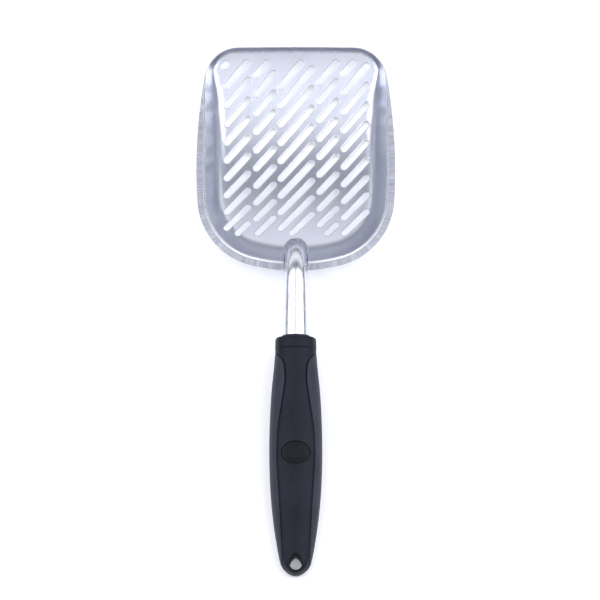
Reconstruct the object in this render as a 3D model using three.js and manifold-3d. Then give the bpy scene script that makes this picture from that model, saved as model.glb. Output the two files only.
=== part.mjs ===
// A cast aluminium sifting scoop: slotted pan, bent neck with a tang, and a hard and soft plastic handle.
// Millimetres. Pieces are shaped with +Y to the leading edge and the front of the pan floor level.
// The whole group is then tilted to the way the scoop lies on a table, on the pan's heel and the tail.
import * as THREE from "three";
import { LoftGeometry } from "three/addons/geometries/LoftGeometry.js";
import { mergeVertices } from "three/addons/utils/BufferGeometryUtils.js";
import Module from "manifold-3d";

const wasm = await Module();
wasm.setup();

// ---------------------------------------------------------------- driving dimensions
const GAP = 0.3; // clearance between pieces that touch

// Pan outline: tangent arcs from the middle of the back to the leading edge, as [radius, end angle].
// One more arc, centred on the axis, closes the leading edge.
const PAN_BACK = 24.7;
const PAN_ARCS = [
  [120.5, -76],
  [45.6, -3.6],
  [335, 10.4],
  [22.4, 89.3],
];
const ARC_STEPS = [3, 8, 4, 6, 4];
const PAN_MIDDLE = 100;

// Pan section: the floor is level at the front and its slope grows steadily towards the back.
const FLOOR_FRONT = 165;
const FLOOR_BEND = 0.0065;
const FLOOR_THICK = 3;
const LIP_THICK = 1.7;
const CREST_FRONT = 2.2; // height of the rim's crest at the leading edge
const CREST_SLOPE = 0.46;
const PAN_FRONT = 170;
const BAND_WIDTH = 5.6; // ground band outside the crest, fading out towards the lip
const LIP_BAND = 0.7;
const WALL_WIDTH = 12.5;
const LIP_WALL = 1.8;
const FLOOR_RINGS = [0, 0.4, 0.72]; // as shares of the floor's edge; the first is its middle point

// Sifting slots: a short one in a corner, then five columns. Each is [middle, half width, distance of its
// first row down the floor, rows].
const SLOT_COLUMNS = [
  [-45.5, 0.45, 7.2, 1],
  [-37.6, 6.7, 12.67, 10],
  [-19.9, 5.5, 6.9, 10],
  [0.3, 9.9, 9.2, 10],
  [20.7, 5.3, 11.8, 10],
  [38.3, 7.2, 3.9, 10],
];
const SLOT_PITCH = 12.67;
const SLOT_ANGLE = 50;
const SLOT_RADIUS = 2.1;
const SLOTS_FRONT = 159;
const SLOTS_BACK = 49;

// Neck: a bent rod whose nose dips into the pan's back wall.
const NECK_PATH = [
  [42, 40.5],
  [38.2, 50],
  [33.6, 59.6],
  [25, 66.3],
  [8, 69.8],
];
const NOSE_RADIUS = 7.4;
const NECK_RADIUS = 8.9;
const NOSE_ROUND = 0.14; // share of the neck's length over which the nose rounds off
const NECK_STEPS = 22;
const NECK_SIDES = 20;
const TANG_RADIUS = 5;
const TANG_LENGTH = 118;
const NOSE_TIP = 0.12; // the nose ends in a small flat of this share of its radius
const BEAD_RADIUS = 1.3;
const BEAD_AT = 0.45; // share of the neck's length
const BEAD_HALF_ANGLE = 52;

// Handle: its straight axis starts at the collar's mouth and rises towards the tail.
const MOUTH = new THREE.Vector3(0, -16.2, 74.4);
const HANDLE_RISE = 12;
const HANDLE_START = 2.6; // the mouth's face; places along the handle count from MOUTH
const HANDLE_LENGTH = 157.2;
const HANDLE_HALF_WIDTH = [[0, 13.1], [11, 13.3], [42, 15.9], [79, 17], [110, 15.7], [142, 11.4], [160, 7.6]];
const HANDLE_HALF_DEPTH = [[0, 12.2], [12, 12.2], [45, 12.9], [80, 13.4], [112, 12.1], [142, 9.4], [160, 8.2]];
const TAIL_ROUND = 8.6;
const SECTION_POWER = 2.4;
const HANDLE_SIDES = 28;
const HANDLE_STEPS = 13;
const TAIL_STEPS = 5;
const COLLAR_LENGTH = 10.6;
const GRIP_START = 11.4;
const GRIP_THICK = 2.6;
const GROOVE = 1;
// Half width of the hard spine between the grips, from the collar to the round tail.
const SPINE_HALF_WIDTH = [[12, 14], [14.5, 11], [19, 7.9], [27, 6.6], [46, 8.6], [62, 11], [78, 11.8], [105, 10.4], [148.6, 8]];
const SPINE_STEPS = 16;
const TAIL_CENTRE = 148.6;
const LEDGE_HALF_DEPTH = 6.8; // of the ledge round the spine's tail
const RING_RADIUS = 9.5;
const RING_THICK = 1.2;
const THUMB_AT = 79.2;
const THUMB_HALF = [9.25, 7.3]; // across and along the handle
const THUMB_FLOOR = 10.2;
const THUMB_SUNK = 0.4; // the pad's rim below the spine's surface
const THUMB_DISH = 11.9;
const DISH_RADIUS = 52;
const HANG_AT = 150.6;
const HANG_HALF_WIDTH = 3.95;
const HANG_ARCH = 6.2; // from the hang hole's widest line up to its point
const PIN_RADIUS = 1.5;
const PIN_HALF_LENGTH = 11.5;
const PINS_AT = { tang_pin_upper: 46, tang_pin_lower: 98 };

// Resting plane: touches the pan at its heel and trims a small flat there and at the tail.
const HEEL = 114;
const REST_TRIM = 0.4;
const REACH = 400; // larger than the scoop, for cutters that run right through

// ---------------------------------------------------------------- solids and meshes
const radians = THREE.MathUtils.degToRad;
const lerp = THREE.MathUtils.lerp;
const smooth = (value, from, to) => THREE.MathUtils.smoothstep((value - from) / (to - from), 0, 1);

// A closed geometry as a solid, without the empty triangles of a ring drawn together into one point.
function solid(geometry) {
  const bare = new THREE.BufferGeometry().setAttribute("position", geometry.getAttribute("position"));
  const merged = mergeVertices(bare.setIndex(geometry.index), 1e-4);
  const corners = merged.index.array;
  const triVerts = [];
  for (let i = 0; i < corners.length; i += 3) {
    const [a, b, c] = corners.slice(i, i + 3);
    if (a !== b && b !== c && c !== a) triVerts.push(a, b, c);
  }
  return new wasm.Manifold(
    new wasm.Mesh({
      numProp: 3,
      vertProperties: merged.attributes.position.array,
      triVerts: new Uint32Array(triVerts),
    }),
  );
}

function meshOf(name, made, material) {
  const result = made.getMesh();
  const geometry = new THREE.BufferGeometry();
  geometry.setAttribute("position", new THREE.BufferAttribute(result.vertProperties, 3));
  geometry.setIndex(new THREE.BufferAttribute(result.triVerts, 1));
  geometry.computeVertexNormals();
  const mesh = new THREE.Mesh(geometry, material);
  mesh.name = name;
  return mesh;
}

const sum = (solids) => solids.reduce((all, next) => all.add(next));

// ---------------------------------------------------------------- pan
const floorHeight = (y) => (y < FLOOR_FRONT ? (FLOOR_BEND / 2) * (FLOOR_FRONT - y) ** 2 : 0);
const floorThick = (y) => lerp(FLOOR_THICK, LIP_THICK, smooth(y, 135, PAN_FRONT));
const crestHeight = (y) => CREST_FRONT + CREST_SLOPE * (PAN_FRONT - y);
const bandWidth = (y) => lerp(BAND_WIDTH, LIP_BAND, smooth(y, 100, 160));
const wallWidth = (y) => lerp(WALL_WIDTH, LIP_WALL, smooth(y, 132, PAN_FRONT));

// Half of the pan's outline, then its mirror image, as points with their outward normals.
function panOutline() {
  const right = [];
  let centre = new THREE.Vector2(0, PAN_BACK + PAN_ARCS[0][0]);
  let start = -90;
  const addArc = (radius, end, steps) => {
    for (let i = 0; i < steps; i++) {
      const angle = radians(lerp(start, end, i / steps));
      const normal = new THREE.Vector2(Math.cos(angle), Math.sin(angle));
      right.push({ at: centre.clone().addScaledVector(normal, radius), normal });
    }
  };
  PAN_ARCS.forEach(([radius, end], i) => {
    addArc(radius, end, ARC_STEPS[i]);
    const turn = new THREE.Vector2(Math.cos(radians(end)), Math.sin(radians(end)));
    const next = i + 1 < PAN_ARCS.length ? PAN_ARCS[i + 1][0] : radius + centre.x / turn.x;
    centre = centre.clone().addScaledVector(turn, radius - next);
    start = end;
    if (i + 1 === PAN_ARCS.length) addArc(next, 90, ARC_STEPS[i + 1]);
  });
  const front = { at: new THREE.Vector2(0, PAN_FRONT), normal: new THREE.Vector2(0, 1) };
  const mirrored = right.slice(1).map(({ at, normal }) => ({
    at: new THREE.Vector2(-at.x, at.y),
    normal: new THREE.Vector2(-normal.x, normal.y),
  }));
  return [...right, front, ...mirrored.reverse()];
}

// A ring of the pan's surface: set in from the outline, with a height from each point's place.
function panRing(outline, inset, height) {
  return outline.map(({ at, normal }) => {
    const place = at.clone().addScaledVector(normal, -inset(at.y));
    return new THREE.Vector3(place.x, place.y, height(place.y, at, normal));
  });
}

function floorRings(edge, height) {
  return FLOOR_RINGS.map((scale) =>
    edge.map((p) => {
      const y = PAN_MIDDLE + (p.y - PAN_MIDDLE) * scale;
      return new THREE.Vector3(p.x * scale, y, height(y));
    }),
  );
}

// The pan before its slots are cut.
function panShell() {
  const outline = panOutline();
  const underside = (y) => floorHeight(y) - floorThick(y);
  const crestPlace = (at, normal) => at.y - bandWidth(at.y) * normal.y;
  const inner = [1, 0.75, 0.4, 0].map((rise) =>
    panRing(
      outline,
      (y) => bandWidth(y) + wallWidth(y) * (1 - rise),
      (y, at, normal) => {
        const crest = crestPlace(at, normal);
        return floorHeight(y) + (crestHeight(crest) - floorHeight(crest)) * rise ** 2;
      },
    ),
  );
  const outer = [0, 0.35, 0.7, 1].map((rise) =>
    panRing(
      outline,
      (y) => (bandWidth(y) + wallWidth(y) + 1.5) * (1 - rise),
      (y, at, normal) => {
        const edge = crestHeight(crestPlace(at, normal)) - 0.8 - 1.1 * bandWidth(at.y);
        return underside(y) + (edge - underside(at.y)) * rise ** 2;
      },
    ),
  );
  const sections = [
    ...floorRings(outer[0], underside),
    ...outer,
    ...inner,
    ...floorRings(inner[3], floorHeight).reverse(),
  ];
  return solid(new LoftGeometry(sections));
}

// Distance along the floor from its level front, and the way back from that distance to Y.
function floorDistance(y) {
  const run = FLOOR_FRONT - y;
  const slope = FLOOR_BEND * run;
  return (run * Math.hypot(1, slope) + Math.asinh(slope) / FLOOR_BEND) / 2;
}

function floorPlace(distance) {
  let run = distance;
  for (let i = 0; i < 8; i++) {
    run -= (floorDistance(FLOOR_FRONT - run) - distance) / Math.hypot(1, FLOOR_BEND * run);
  }
  return FLOOR_FRONT - run;
}

// One slot, drawn on the floor as if it were rolled out flat, then cut straight down.
function slotCutter(from, to) {
  const heading = Math.atan2(to.y - from.y, to.x - from.x);
  const steps = 4;
  const points = [];
  for (const [end, turned] of [[to, -Math.PI / 2], [from, Math.PI / 2]]) {
    for (let i = 0; i <= steps; i++) {
      const angle = heading + turned + (Math.PI * i) / steps;
      const x = end.x + SLOT_RADIUS * Math.cos(angle);
      points.push(new THREE.Vector2(x, floorPlace(end.y + SLOT_RADIUS * Math.sin(angle))));
    }
  }
  const prism = new THREE.ExtrudeGeometry(new THREE.Shape(points), { depth: REACH, bevelEnabled: false });
  return solid(prism.translate(0, 0, -REACH / 2));
}

function slotCutters() {
  const cutters = [];
  const first = floorDistance(SLOTS_FRONT);
  const last = floorDistance(SLOTS_BACK);
  const slope = -Math.tan(radians(SLOT_ANGLE));
  for (const [middle, half, start, rows] of SLOT_COLUMNS) {
    for (let row = 0; row < rows; row++) {
      const distance = start + row * SLOT_PITCH;
      const ends = [-half, half].map((offset) => {
        const clipped = THREE.MathUtils.clamp(distance + offset * slope, first, last);
        return new THREE.Vector2(middle + (clipped - distance) / slope, clipped);
      });
      cutters.push(slotCutter(...ends));
    }
  }
  return sum(cutters);
}

// ---------------------------------------------------------------- neck
const handleDirection = new THREE.Vector3(0, -Math.cos(radians(HANDLE_RISE)), Math.sin(radians(HANDLE_RISE)));
const handleUp = new THREE.Vector3(0, Math.sin(radians(HANDLE_RISE)), Math.cos(radians(HANDLE_RISE)));

// A place in the handle: along its axis, across it, and up from it.
function inHandle(along, across = 0, up = 0) {
  const place = MOUTH.clone().addScaledVector(handleDirection, along).addScaledVector(handleUp, up);
  place.x += across;
  return place;
}

// Turns geometry drawn with +Y towards the pan and +Z up from the handle's axis to the handle's pose.
function poseInHandle(geometry) {
  return geometry.rotateX(radians(-HANDLE_RISE)).translate(MOUTH.x, MOUTH.y, MOUTH.z);
}

function circlePoint(centre, up, radius, angle) {
  const point = centre.clone().addScaledVector(up, radius * Math.sin(angle));
  point.x += radius * Math.cos(angle);
  return point;
}

function neckPath() {
  const points = NECK_PATH.map(([y, z]) => new THREE.Vector3(0, y, z));
  const shoulder = inHandle(HANDLE_START - RING_THICK - 2 * GAP);
  return new THREE.CatmullRomCurve3([...points, shoulder], false, "centripetal");
}

function neckUp(path, t) {
  const along = path.getTangentAt(t);
  return new THREE.Vector3(0, along.z, -along.y);
}

function neckRadius(t) {
  const nose = Math.sqrt(1 - Math.max(0, 1 - t / NOSE_ROUND) ** 2);
  return lerp(NOSE_RADIUS, NECK_RADIUS, smooth(t, 0.2, 1)) * Math.max(nose, NOSE_TIP);
}

// The bent rod from its nose to the collar ring, grown by a margin on every side.
function neckRod(margin = 0) {
  const path = neckPath();
  const sections = [];
  for (let i = 0; i <= NECK_STEPS; i++) {
    const t = (i / NECK_STEPS) ** 1.3;
    const [centre, up] = [path.getPointAt(t), neckUp(path, t)];
    const angles = Array.from({ length: NECK_SIDES }, (_, side) => (2 * Math.PI * side) / NECK_SIDES);
    sections.push(angles.map((angle) => circlePoint(centre, up, neckRadius(t) + margin, angle)));
  }
  return solid(new LoftGeometry(sections, { capStart: true, capEnd: true }));
}

function rodInHandle(from, to, radius, sides) {
  const rod = new THREE.CylinderGeometry(radius, radius, to - from, sides);
  return solid(poseInHandle(rod.translate(0, -(from + to) / 2, 0)));
}

function crossPin(along, radius, halfLength) {
  const pin = new THREE.CylinderGeometry(radius, radius, 2 * halfLength, 16);
  return solid(poseInHandle(pin.rotateZ(Math.PI / 2).translate(0, -along, 0)));
}

const pinBores = () => sum(Object.values(PINS_AT).map((at) => crossPin(at, PIN_RADIUS + GAP, REACH / 2)));

// A half ring of weld under the neck, in the corner where it leaves the pan's rim.
function weldBead() {
  const path = neckPath();
  const centre = path.getPointAt(BEAD_AT);
  const up = neckUp(path, BEAD_AT);
  const arc = Array.from({ length: 9 }, (_, i) => {
    const angle = radians(lerp(-90 - BEAD_HALF_ANGLE, -90 + BEAD_HALF_ANGLE, i / 8));
    return circlePoint(centre, up, neckRadius(BEAD_AT) + GAP + BEAD_RADIUS, angle);
  });
  const section = new THREE.Shape().absarc(0, 0, BEAD_RADIUS, 0, 2 * Math.PI);
  const extrudePath = new THREE.CatmullRomCurve3(arc);
  return solid(new THREE.ExtrudeGeometry(section, { steps: 16, curveSegments: 10, bevelEnabled: false, extrudePath }));
}

// ---------------------------------------------------------------- handle
function curveValue(table, at) {
  const curve = new THREE.SplineCurve(table.map(([x, y]) => new THREE.Vector2(x, y)));
  let [low, high] = [0, 1];
  for (let i = 0; i < 20; i++) {
    const middle = (low + high) / 2;
    if (curve.getPoint(middle).x < at) low = middle;
    else high = middle;
  }
  return curve.getPoint(low).y;
}

// The handle's outer form, set in by a margin, with a rounded tail.
function handleForm(margin) {
  const end = HANDLE_LENGTH - margin * 0.6;
  const tailStart = end - TAIL_ROUND;
  const stations = [];
  for (let i = 0; i < HANDLE_STEPS; i++) stations.push([lerp(HANDLE_START, tailStart, i / HANDLE_STEPS), 1, 1]);
  for (let i = 0; i <= TAIL_STEPS; i++) {
    const angle = ((Math.PI / 2) * i) / TAIL_STEPS;
    const across = Math.max(Math.cos(angle), 0.12);
    stations.push([tailStart + TAIL_ROUND * Math.sin(angle), across, lerp(0.45, 1, across)]);
  }
  const power = 2 / SECTION_POWER;
  const sections = stations.map(([along, shrinkWidth, shrinkDepth]) => {
    const width = (curveValue(HANDLE_HALF_WIDTH, along) - margin) * shrinkWidth;
    const depth = (curveValue(HANDLE_HALF_DEPTH, along) - margin) * shrinkDepth;
    return Array.from({ length: HANDLE_SIDES }, (_, i) => {
      const angle = (2 * Math.PI * i) / HANDLE_SIDES;
      const [c, s] = [Math.cos(angle), Math.sin(angle)];
      return inHandle(along, width * Math.sign(c) * Math.abs(c) ** power, depth * Math.sign(s) * Math.abs(s) ** power);
    });
  });
  return solid(new LoftGeometry(sections, { capStart: true, capEnd: true }));
}

function prismInHandle(shape) {
  const prism = new THREE.ExtrudeGeometry(shape, { depth: REACH, bevelEnabled: false, curveSegments: 10 });
  return solid(poseInHandle(prism.translate(0, 0, -REACH / 2)));
}

// The spine's outline seen from above the handle, grown by a margin, run right through the handle.
function spinePrism(margin) {
  const shape = new THREE.Shape();
  const side = [];
  const [start] = SPINE_HALF_WIDTH[0];
  for (let i = 0; i < SPINE_STEPS; i++) {
    const along = lerp(start, TAIL_CENTRE, (i / SPINE_STEPS) ** 1.4);
    side.push([curveValue(SPINE_HALF_WIDTH, along) + margin, -along]);
  }
  const tail = curveValue(SPINE_HALF_WIDTH, TAIL_CENTRE) + margin;
  shape.moveTo(-side[0][0], 0);
  side.forEach(([x, y]) => shape.lineTo(-x, y));
  shape.absarc(0, -TAIL_CENTRE, tail, Math.PI, 2 * Math.PI);
  [...side].reverse().forEach(([x, y]) => shape.lineTo(x, y));
  shape.lineTo(side[0][0], 0);
  return prismInHandle(shape);
}

function slabInHandle(from, to, thickness = REACH) {
  const slab = new THREE.BoxGeometry(REACH, to - from, thickness);
  return solid(poseInHandle(slab.translate(0, -(from + to) / 2, 0)));
}

function hangHole() {
  const shape = new THREE.Shape();
  const [half, middle] = [HANG_HALF_WIDTH, -HANG_AT];
  shape.moveTo(half, middle);
  shape.quadraticCurveTo(half * 0.9, middle + HANG_ARCH * 0.7, 0, middle + HANG_ARCH);
  shape.quadraticCurveTo(-half * 0.9, middle + HANG_ARCH * 0.7, -half, middle);
  shape.absarc(0, middle, half, Math.PI, 2 * Math.PI);
  return prismInHandle(shape);
}

function thumbPrism(margin, from, to) {
  const shape = new THREE.Shape();
  shape.absellipse(0, -THUMB_AT, THUMB_HALF[0] + margin, THUMB_HALF[1] + margin, 0, 2 * Math.PI);
  const prism = new THREE.ExtrudeGeometry(shape, { depth: to - from, bevelEnabled: false, curveSegments: 12 });
  return solid(poseInHandle(prism.translate(0, 0, from)));
}

function thumbPad() {
  const dish = new THREE.SphereGeometry(DISH_RADIUS, 32, 20).rotateX(Math.PI / 2);
  const bowl = solid(poseInHandle(dish.translate(0, -THUMB_AT, THUMB_DISH + DISH_RADIUS)));
  const block = thumbPrism(0, THUMB_FLOOR + GAP, THUMB_FLOOR + 20);
  return block.intersect(handleForm(THUMB_SUNK)).subtract(bowl);
}

function handleCore(form) {
  const spine = form.intersect(spinePrism(0));
  const collar = form.intersect(slabInHandle(-1, COLLAR_LENGTH));
  const ledge = form.intersect(slabInHandle(TAIL_CENTRE - 1 + GAP, REACH, 2 * LEDGE_HALF_DEPTH));
  return sum([handleForm(GRIP_THICK), spine, collar, ledge])
    .subtract(rodInHandle(-1, TANG_LENGTH + GAP, TANG_RADIUS + GAP, 20))
    .subtract(pinBores())
    .subtract(thumbPrism(GAP, THUMB_FLOOR, THUMB_FLOOR + 20))
    .subtract(hangHole());
}

// Both grips at once: what is left of the handle's form beside the spine and outside the core.
function grips(form) {
  return form
    .subtract(spinePrism(GROOVE))
    .subtract(slabInHandle(-REACH, GRIP_START))
    .subtract(slabInHandle(TAIL_CENTRE - 1, REACH))
    .subtract(handleForm(GRIP_THICK - GAP));
}

function halfSpace(side) {
  return solid(new THREE.BoxGeometry(REACH, 2 * REACH, 2 * REACH).translate((side * REACH) / 2, 0, 0));
}

function collarRing() {
  const [inside, outside] = [TANG_RADIUS + GAP, RING_RADIUS];
  const profile = [
    [inside, 0],
    [outside - 0.3, 0],
    [outside, RING_THICK / 2],
    [outside - 0.3, RING_THICK],
    [inside, RING_THICK],
    [inside, 0],
  ].map(([x, y]) => new THREE.Vector2(x, y));
  return solid(poseInHandle(new THREE.LatheGeometry(profile, 28).translate(0, GAP - HANDLE_START, 0)));
}

// ---------------------------------------------------------------- assembly
// Everything under the plane on which the scoop rests.
function belowRest() {
  const slope = FLOOR_BEND * (FLOOR_FRONT - HEEL);
  const heel = new THREE.Vector3(0, HEEL, floorHeight(HEEL) - FLOOR_THICK + REST_TRIM);
  const block = new THREE.BoxGeometry(REACH, 3 * REACH, REACH).translate(0, 0, -REACH / 2);
  return solid(block.rotateX(-Math.atan(slope)).translate(heel.x, heel.y, heel.z));
}

const aluminium = new THREE.MeshStandardMaterial({ color: 0xb9bcc6, roughness: 0.32, metalness: 1 });
const steel = new THREE.MeshStandardMaterial({ color: 0x9a9ca0, roughness: 0.35, metalness: 1 });
const hardPlastic = new THREE.MeshStandardMaterial({ color: 0x24272f, roughness: 0.5, metalness: 0 });
const softPlastic = new THREE.MeshStandardMaterial({ color: 0x2f323b, roughness: 0.75, metalness: 0 });

const scoop = new THREE.Group();
const table = belowRest();
const form = handleForm(0);
const bothGrips = grips(form).subtract(table);

scoop.add(
  meshOf("scoop_pan", panShell().subtract(slotCutters()).subtract(neckRod(GAP)).subtract(table), aluminium),
  meshOf("weld_bead", weldBead(), aluminium),
  meshOf(
    "neck_rod",
    neckRod()
      .add(rodInHandle(HANDLE_START - RING_THICK - 1, TANG_LENGTH, TANG_RADIUS, 20))
      .subtract(pinBores()),
    aluminium,
  ),
  meshOf("collar_ring", collarRing(), softPlastic),
  meshOf("handle_core", handleCore(form).subtract(table), hardPlastic),
  meshOf("grip_left", bothGrips.intersect(halfSpace(-1)), softPlastic),
  meshOf("grip_right", bothGrips.intersect(halfSpace(1)), softPlastic),
  meshOf("thumb_pad", thumbPad(), softPlastic),
);
for (const [name, at] of Object.entries(PINS_AT)) {
  scoop.add(meshOf(name, crossPin(at, PIN_RADIUS, PIN_HALF_LENGTH), steel));
}

// Lay the scoop on its heel and tail, with the origin below the middle of its box.
scoop.rotation.x = Math.atan(FLOOR_BEND * (FLOOR_FRONT - HEEL));
scoop.updateMatrixWorld(true);
const box = new THREE.Box3().setFromObject(scoop, true);
const middle = box.getCenter(new THREE.Vector3());
scoop.position.set(0, -middle.y, -box.min.z);

const group = new THREE.Group();
group.add(scoop);
export default group;
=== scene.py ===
import math

import bmesh
import bpy
import numpy as np
from mathutils import Matrix, Vector
from mathutils.geometry import delaunay_2d_cdt


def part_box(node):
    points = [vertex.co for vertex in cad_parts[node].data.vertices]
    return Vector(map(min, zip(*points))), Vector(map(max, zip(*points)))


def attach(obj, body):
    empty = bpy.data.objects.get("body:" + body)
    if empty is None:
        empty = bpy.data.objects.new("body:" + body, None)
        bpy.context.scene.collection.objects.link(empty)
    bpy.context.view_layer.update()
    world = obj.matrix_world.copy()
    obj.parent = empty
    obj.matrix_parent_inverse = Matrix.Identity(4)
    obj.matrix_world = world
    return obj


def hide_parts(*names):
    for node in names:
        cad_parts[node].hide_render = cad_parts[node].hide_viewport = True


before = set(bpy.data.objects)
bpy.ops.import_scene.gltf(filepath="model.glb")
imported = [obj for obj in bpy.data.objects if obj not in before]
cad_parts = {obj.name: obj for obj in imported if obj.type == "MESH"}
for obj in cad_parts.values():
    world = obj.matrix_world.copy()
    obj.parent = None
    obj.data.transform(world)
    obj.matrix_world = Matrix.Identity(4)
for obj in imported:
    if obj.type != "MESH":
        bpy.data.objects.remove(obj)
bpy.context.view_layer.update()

# Pieces are shaped in millimetres in the design pose, with +Y to the leading edge and the front of the
# pan's floor level, then laid on the table with the CAD model.
MM = 0.001

# Pan outline: tangent arcs from the middle of the back, as (radius, end angle in degrees).
PAN_BACK = 24.7
PAN_FRONT = 170
PAN_ARCS = [(120.5, -76), (45.6, -3.6), (335, 10.4), (22.4, 89.3)]
OUTLINE_STEP = 1.3
FLOOR_FRONT = 165
FLOOR_BEND = 0.0065
HEEL_Y = 114  # where the pan's underside touches the table
FLOOR_THICK, LIP_THICK = 3, 1.7
FLOOR_THINS_FROM = 135
CREST_FRONT, CREST_SLOPE = 2.2, 0.46
BAND_WIDTH, LIP_BAND = 5.6, 0.7
BAND_NARROWS = (100, 160)
WALL_WIDTH, LIP_WALL = 12.5, 1.8
WALL_NARROWS_FROM = 132
UNDER_MARGIN = 1.5  # how much further in the outer wall reaches than the inner one
WALL_RISES = (0.85, 0.72, 0.59, 0.46, 0.33, 0.2, 0.08)
CREST_ROUND, UNDER_INSET = 0.7, 0.5
BAND_DROP, BAND_SLOPE = 0.8, 1.1  # the band's fall from the crest, and more for each mm of its width
RAGGED = 0.12

# A staggered grid of points over the floor: spacing across, rows' share of that, and extent.
FLOOR_STEP, ROW_SHARE = 2.1, 0.87
GRID_HALF_WIDTH, GRID_BACK, GRID_FRONT = 60, 30, 168
RING_CLEAR, GRID_CLEAR = 0.7, 0.85  # how near a slot's edge a ring's or the grid's points may come

# Slot columns: middle, half width, distance of the first row down the floor, rows.
SLOT_COLUMNS = [
    (-45.5, 0.45, 7.2, 1),
    (-37.6, 6.7, 12.67, 10),
    (-19.9, 5.5, 6.9, 10),
    (0.3, 9.9, 9.2, 10),
    (20.7, 5.3, 11.8, 10),
    (38.3, 7.2, 3.9, 10),
]
SLOT_PITCH = 12.67
SLOT_SLOPE = -math.tan(math.radians(50))
SLOT_RADIUS = 2.1
SLOTS_FRONT, SLOTS_BACK = 159, 49
SLOT_EDGE = 0.35  # radius on the slots' rims
SLOT_RINGS = (0.05, 0.15, SLOT_EDGE, 0.58)  # rings of points round a slot

NECK_PATH = [(42, 40.5), (38.2, 50), (33.6, 59.6), (25, 66.3), (8, 69.8)]
NOSE_RADIUS, NECK_RADIUS, TANG_RADIUS = 7.4, 8.9, 5
NOSE_ROUND = 0.14
TANG_LENGTH = 118
TANG_CHAMFER = 0.8
NECK_TRIM = 0.04  # keeps the rounder bend inside the CAD box
SOCKET_GAP = 0.3  # round the neck's nose, and round the tang
ROUND_SIDES = 64
BEAD_AT = 0.45
BEAD_RADIUS = 1.28
BEAD_RIPPLES = 17

MOUTH = Vector((0, -16.2, 74.4))
HANDLE_RISE = math.radians(12)
HANDLE_START = 2.6
HANDLE_END = 157.2
HALF_WIDTH = [(0, 13.1), (11, 13.3), (42, 15.9), (79, 17), (110, 15.7), (142, 11.4), (160, 7.6)]
HALF_DEPTH = [(0, 12.2), (12, 12.2), (45, 12.9), (80, 13.4), (112, 12.1), (142, 9.4), (160, 8.2)]
SPINE = [(12, 14), (14.5, 11), (19, 7.9), (27, 6.6), (46, 8.6), (62, 11), (78, 11.8), (105, 10.4), (148.6, 8)]
SECTION_POWER = 2.4
TAIL_ROUND = 8.6
TAIL_CENTRE = 148.6
COLLAR_LENGTH = 10.6
COLLAR_RIM = [(0, 1.1), (0.08, 0.75), (0.35, 0.35), (0.75, 0.1), (1.2, 0)]  # along, inset
COLLAR_STEP = [(1.3, 0), (0.7, 0.15), (0.25, 0.5), (0, 1.1)]  # back from the collar's end, inset
# The mouth ring's section, as (along from the handle's start, radius).
MOUTH_RING = [(-1.45, 5.4), (-1.48, 9.1), (-1.3, 9.38), (-0.9, 9.5), (-0.5, 9.38), (-0.32, 9.1), (-0.3, 5.4)]
GRIP_THICK = 2.4
GROOVE = 1.0
SPINE_EDGE, GRIP_EDGE = 0.7, 0.8  # radii on the edges beside the groove
PIN_AT = 46
THUMB_AT = 79.2
THUMB_HALF = (9.25, 7.3)
THUMB_FLOOR = 10.2
THUMB_RIM = [(1, 0.75), (0.985, 0.5), (0.955, 0.38), (0.92, 0.36)]  # share of the outline, sunk
THUMB_DISH = 0.95
THUMB_GAP = 0.22
HANG_AT, HANG_HALF, HANG_ARCH = 150.6, 3.95, 6.2

# Studio sky: each panel's middle and half width across, its middle and half swing in degrees, its light.
SKY = (0.17, 0.18, 0.215, 1)
PANELS = [
    (0.53, 0.41, 89, 23, (3.1, 3.12, 3.2, 1)),
    (-0.53, 0.41, 89, 23, (2.7, 2.72, 2.8, 1)),
    (0, 0.85, 29, 13, (1.2, 1.21, 1.26, 1)),
    (0, 0.6, 142, 12, (0.45, 0.46, 0.5, 1)),
]
FLOOR_HALF, FLOOR_DROP = 3.0, 0.0002  # in metres

# ---------------------------------------------------------------- placing
TILT = math.atan(FLOOR_BEND * (FLOOR_FRONT - HEEL_Y))
TURN = Matrix.Rotation(TILT, 3, "X")
ALONG = Vector((0, -math.cos(HANDLE_RISE), math.sin(HANDLE_RISE)))
UP = Vector((0, math.sin(HANDLE_RISE), math.cos(HANDLE_RISE)))


def in_handle(along, across=0.0, up=0.0):
    return MOUTH + ALONG * along + UP * up + Vector((across, 0, 0))


pin_low, pin_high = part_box("tang_pin_upper")
SHIFT = (Vector(pin_low) + Vector(pin_high)) / 2 - TURN @ in_handle(PIN_AT) * MM


def laid(point):
    """A place in the design pose, in mm, as a place on the table, in metres."""
    return TURN @ (Vector(point) * MM) + SHIFT


# ---------------------------------------------------------------- small helpers
def smooth(value, low, high):
    t = np.clip((np.asarray(value, float) - low) / (high - low), 0, 1)
    return t * t * (3 - 2 * t)


def mix(a, b, t):
    return a + (b - a) * t


def through(table, at):
    """The value at a place on a smooth curve through a table's points."""
    xs, ys = np.array(table, float).T
    slopes = np.gradient(ys, xs)
    i = int(np.clip(np.searchsorted(xs, at) - 1, 0, len(xs) - 2))
    step = xs[i + 1] - xs[i]
    t = (at - xs[i]) / step
    ends = (2 * t**3 - 3 * t**2 + 1) * ys[i] + (3 * t**2 - 2 * t**3) * ys[i + 1]
    return ends + step * ((t**3 - 2 * t**2 + t) * slopes[i] + (t**3 - t**2) * slopes[i + 1])


def make_object(name, points, faces, shade_angle=40):
    mesh = bpy.data.meshes.new(name)
    mesh.from_pydata([laid(p) for p in points], [], faces)
    mesh.validate()
    bm = bmesh.new()
    bm.from_mesh(mesh)
    bmesh.ops.remove_doubles(bm, verts=bm.verts, dist=1e-7)
    bmesh.ops.recalc_face_normals(bm, faces=bm.faces)
    if bm.calc_volume(signed=True) < 0:
        bmesh.ops.reverse_faces(bm, faces=bm.faces)
    bm.to_mesh(mesh)
    bm.free()
    obj = bpy.data.objects.new(name, mesh)
    bpy.context.scene.collection.objects.link(obj)
    shade(obj, shade_angle)
    return obj


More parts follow.
